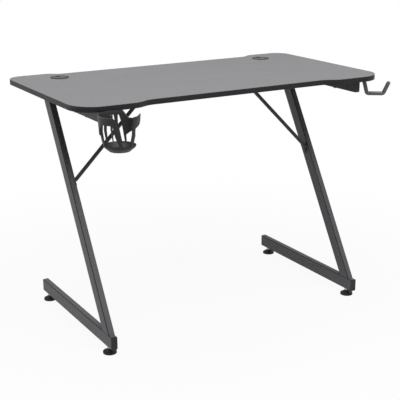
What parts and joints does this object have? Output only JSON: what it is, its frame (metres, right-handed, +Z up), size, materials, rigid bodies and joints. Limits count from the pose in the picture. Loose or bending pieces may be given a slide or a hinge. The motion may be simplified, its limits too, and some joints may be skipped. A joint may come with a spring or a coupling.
{
  "type": "gaming desk",
  "caption": "Black desk with a contoured laminate tabletop on Z-shaped tube legs with diagonal braces, levelling feet, cable grommets, a cup holder and a headphone hook.",
  "frame": {"origin": "on the floor, midway between the legs and under the middle of the tabletop's depth", "axes": "+X along the desk to the user's right, +Y from the user to the rear edge, +Z up"},
  "size_m": [1.1012, 0.6955, 0.7516],
  "materials": {
    "board": "raw particle board",
    "laminate": "fine-grained satin laminate",
    "edge": "satin edge band",
    "frame_paint": "fine-textured powder coat",
    "cap_plastic": "moulded, satin",
    "foot_plastic": "moulded, matte",
    "zinc_steel": "zinc plated",
    "grommet_plastic": "moulded, fine grain",
    "fastener": "black oxide",
    "cup_plastic": "moulded, satin"
  },
  "bodies": {
    "frame": {"beam_bolts": "fastener", "brace_bolts": "fastener", "cross_beam": "frame_paint", "cup_holder_basket": "cup_plastic", "cup_holder_bracket": "cup_plastic", "cup_holder_screws": "fastener", "edge_band": "edge", "headphone_hook": "frame_paint", "hook_plate": "frame_paint", "hook_screws": "fastener", "left_beam_plate": "frame_paint", "left_brace": "frame_paint", "left_foot_front_cap": "cap_plastic", "left_foot_rear_cap": "cap_plastic", "left_foot_tube": "frame_paint", "left_front_glide_nut": "zinc_steel", "left_grommet_liner": "grommet_plastic", "left_rail_rear_cap": "cap_plastic", "left_rear_glide_nut": "zinc_steel", "left_top_rail": "frame_paint", "left_upright_tube": "frame_paint", "rail_screws": "fastener", "right_beam_plate": "frame_paint", "right_brace": "frame_paint", "right_foot_front_cap": "cap_plastic", "right_foot_rear_cap": "cap_plastic", "right_foot_tube": "frame_paint", "right_front_glide_nut": "zinc_steel", "right_grommet_liner": "grommet_plastic", "right_rail_front_cap": "cap_plastic", "right_rail_rear_cap": "cap_plastic", "right_rear_glide_nut": "zinc_steel", "right_top_rail": "frame_paint", "right_upright_tube": "frame_paint", "tabletop_core": "board", "top_laminate": "laminate"},
    "left_front_foot": {"left_front_glide_pad": "foot_plastic"},
    "left_front_foot_stud": {"left_front_glide_stud": "zinc_steel"},
    "left_rear_foot": {"left_rear_glide_pad": "foot_plastic"},
    "left_rear_foot_stud": {"left_rear_glide_stud": "zinc_steel"},
    "left_grommet_lid": {"left_grommet_lid": "grommet_plastic"},
    "left_grommet_shutter": {"left_grommet_shutter": "grommet_plastic"},
    "right_front_foot": {"right_front_glide_pad": "foot_plastic"},
    "right_front_foot_stud": {"right_front_glide_stud": "zinc_steel"},
    "right_rear_foot": {"right_rear_glide_pad": "foot_plastic"},
    "right_rear_foot_stud": {"right_rear_glide_stud": "zinc_steel"},
    "right_grommet_lid": {"right_grommet_lid": "grommet_plastic"},
    "right_grommet_shutter": {"right_grommet_shutter": "grommet_plastic"}
  },
  "joints": [
    {"name": "left_front_foot_lift", "type": "slide", "parent": "frame", "child": "left_front_foot", "axis": [0, 0, -1], "range_m": [0, 0.015]},
    {"name": "left_front_foot_turn", "type": "hinge", "parent": "left_front_foot", "child": "left_front_foot_stud", "pos_m": [-0.442, -0.239, 0.02], "axis": [0, 0, -1], "range_deg": [0, 4320]},
    {"name": "left_rear_foot_lift", "type": "slide", "parent": "frame", "child": "left_rear_foot", "axis": [0, 0, -1], "range_m": [0, 0.015]},
    {"name": "left_rear_foot_turn", "type": "hinge", "parent": "left_rear_foot", "child": "left_rear_foot_stud", "pos_m": [-0.442, 0.233, 0.02], "axis": [0, 0, -1], "range_deg": [0, 4320]},
    {"name": "left_grommet_lid_lift", "type": "slide", "parent": "frame", "child": "left_grommet_lid", "axis": [0, 0, 1], "range_m": [0, 0.03]},
    {"name": "left_grommet_shutter_turn", "type": "hinge", "parent": "left_grommet_lid", "child": "left_grommet_shutter", "pos_m": [-0.384, 0.201, 0.7488], "axis": [0, 0, 1], "range_deg": [0, 90]},
    {"name": "right_front_foot_lift", "type": "slide", "parent": "frame", "child": "right_front_foot", "axis": [0, 0, -1], "range_m": [0, 0.015]},
    {"name": "right_front_foot_turn", "type": "hinge", "parent": "right_front_foot", "child": "right_front_foot_stud", "pos_m": [0.442, -0.239, 0.02], "axis": [0, 0, -1], "range_deg": [0, 4320]},
    {"name": "right_rear_foot_lift", "type": "slide", "parent": "frame", "child": "right_rear_foot", "axis": [0, 0, -1], "range_m": [0, 0.015]},
    {"name": "right_rear_foot_turn", "type": "hinge", "parent": "right_rear_foot", "child": "right_rear_foot_stud", "pos_m": [0.442, 0.233, 0.02], "axis": [0, 0, -1], "range_deg": [0, 4320]},
    {"name": "right_grommet_lid_lift", "type": "slide", "parent": "frame", "child": "right_grommet_lid", "axis": [0, 0, 1], "range_m": [0, 0.03]},
    {"name": "right_grommet_shutter_turn", "type": "hinge", "parent": "right_grommet_lid", "child": "right_grommet_shutter", "pos_m": [0.372, 0.201, 0.7488], "axis": [0, 0, 1], "range_deg": [0, 90]}
  ],
  "couplings": [
    {"joint": "left_front_foot_lift", "follows": "left_front_foot_turn", "m_per_rad": 0.0001989},
    {"joint": "left_rear_foot_lift", "follows": "left_rear_foot_turn", "m_per_rad": 0.0001989},
    {"joint": "right_front_foot_lift", "follows": "right_front_foot_turn", "m_per_rad": 0.0001989},
    {"joint": "right_rear_foot_lift", "follows": "right_rear_foot_turn", "m_per_rad": 0.0001989}
  ]
}
